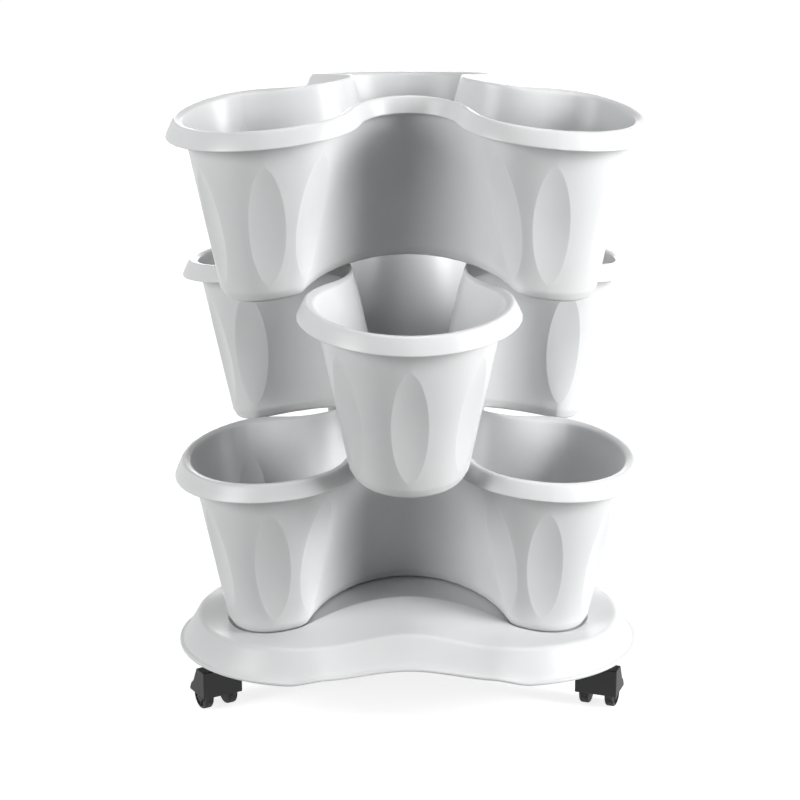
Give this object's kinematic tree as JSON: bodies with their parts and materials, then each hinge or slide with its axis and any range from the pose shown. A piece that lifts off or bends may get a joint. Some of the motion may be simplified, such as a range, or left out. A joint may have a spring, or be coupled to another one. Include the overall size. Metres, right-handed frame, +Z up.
{
  "type": "vertical planter tower",
  "caption": "Stacked trefoil planter pots with fluted lobes, nested crosswise on a rounded tray that rolls on twin-wheel swivel casters.",
  "frame": {"origin": "on the floor under the tower's axis, at the centre of its footprint box", "axes": "+Z up along the tower's axis, -Y the front, where the middle pot's single lobe points, +X to the right as seen from the front"},
  "size_m": [0.401, 0.4332, 0.5284],
  "materials": {
    "pot_plastic": "satin white, moulded",
    "tray_plastic": "satin white, moulded",
    "caster_plastic": "black, lightly textured",
    "wheel_plastic": "black, smooth tread",
    "sleeve_plastic": "grey nylon",
    "steel": "zinc plated"
  },
  "bodies": {
    "base": {"wheeled_tray": "tray_plastic", "front_left_caster_sleeve": "sleeve_plastic", "front_right_caster_sleeve": "sleeve_plastic", "back_caster_sleeve": "sleeve_plastic"},
    "lower_pot": {"lower_pot": "pot_plastic"},
    "middle_pot": {"middle_pot": "pot_plastic"},
    "upper_pot": {"upper_pot": "pot_plastic"},
    "front_left_swivel": {"front_left_caster_hood": "caster_plastic", "front_left_caster_stem": "steel", "front_left_caster_axle": "steel"},
    "front_left_wheel_a": {"front_left_caster_wheel_a": "wheel_plastic"},
    "front_left_wheel_b": {"front_left_caster_wheel_b": "wheel_plastic"},
    "front_right_swivel": {"front_right_caster_hood": "caster_plastic", "front_right_caster_stem": "steel", "front_right_caster_axle": "steel"},
    "front_right_wheel_a": {"front_right_caster_wheel_a": "wheel_plastic"},
    "front_right_wheel_b": {"front_right_caster_wheel_b": "wheel_plastic"},
    "back_swivel": {"back_caster_hood": "caster_plastic", "back_caster_stem": "steel", "back_caster_axle": "steel"},
    "back_wheel_a": {"back_caster_wheel_a": "wheel_plastic"},
    "back_wheel_b": {"back_caster_wheel_b": "wheel_plastic"}
  },
  "joints": [
    {"name": "lower_pot_lift", "type": "slide", "parent": "base", "child": "lower_pot", "axis": [0, 0, 1], "range_m": [0, 0.2]},
    {"name": "middle_pot_lift", "type": "slide", "parent": "lower_pot", "child": "middle_pot", "axis": [0, 0, 1], "range_m": [0, 0.2]},
    {"name": "upper_pot_lift", "type": "slide", "parent": "middle_pot", "child": "upper_pot", "axis": [0, 0, 1], "range_m": [0, 0.2]},
    {"name": "front_left_caster_swivel", "type": "hinge", "parent": "base", "child": "front_left_swivel", "pos_m": [-0.16454, -0.095, 0.0487], "axis": [0, 0, 1], "continuous": true},
    {"name": "front_left_wheel_a_roll", "type": "hinge", "parent": "front_left_swivel", "child": "front_left_wheel_a", "pos_m": [-0.16754, -0.0898, 0.012], "axis": [0.866, 0.5, 0], "continuous": true},
    {"name": "front_left_wheel_b_roll", "type": "hinge", "parent": "front_left_swivel", "child": "front_left_wheel_b", "pos_m": [-0.16754, -0.0898, 0.012], "axis": [0.866, 0.5, 0], "continuous": true},
    {"name": "front_right_caster_swivel", "type": "hinge", "parent": "base", "child": "front_right_swivel", "pos_m": [0.16454, -0.095, 0.0487], "axis": [0, 0, 1], "continuous": true},
    {"name": "front_right_wheel_a_roll", "type": "hinge", "parent": "front_right_swivel", "child": "front_right_wheel_a", "pos_m": [0.1666, -0.08936, 0.012], "axis": [0.9397, -0.342, 0], "continuous": true},
    {"name": "front_right_wheel_b_roll", "type": "hinge", "parent": "front_right_swivel", "child": "front_right_wheel_b", "pos_m": [0.1666, -0.08936, 0.012], "axis": [0.9397, -0.342, 0], "continuous": true},
    {"name": "back_caster_swivel", "type": "hinge", "parent": "base", "child": "back_swivel", "pos_m": [0, 0.19, 0.0487], "axis": [0, 0, 1], "continuous": true},
    {"name": "back_wheel_a_roll", "type": "hinge", "parent": "back_swivel", "child": "back_wheel_a", "pos_m": [0.006, 0.19, 0.012], "axis": [0, -1, 0], "continuous": true},
    {"name": "back_wheel_b_roll", "type": "hinge", "parent": "back_swivel", "child": "back_wheel_b", "pos_m": [0.006, 0.19, 0.012], "axis": [0, -1, 0], "continuous": true}
  ]
}
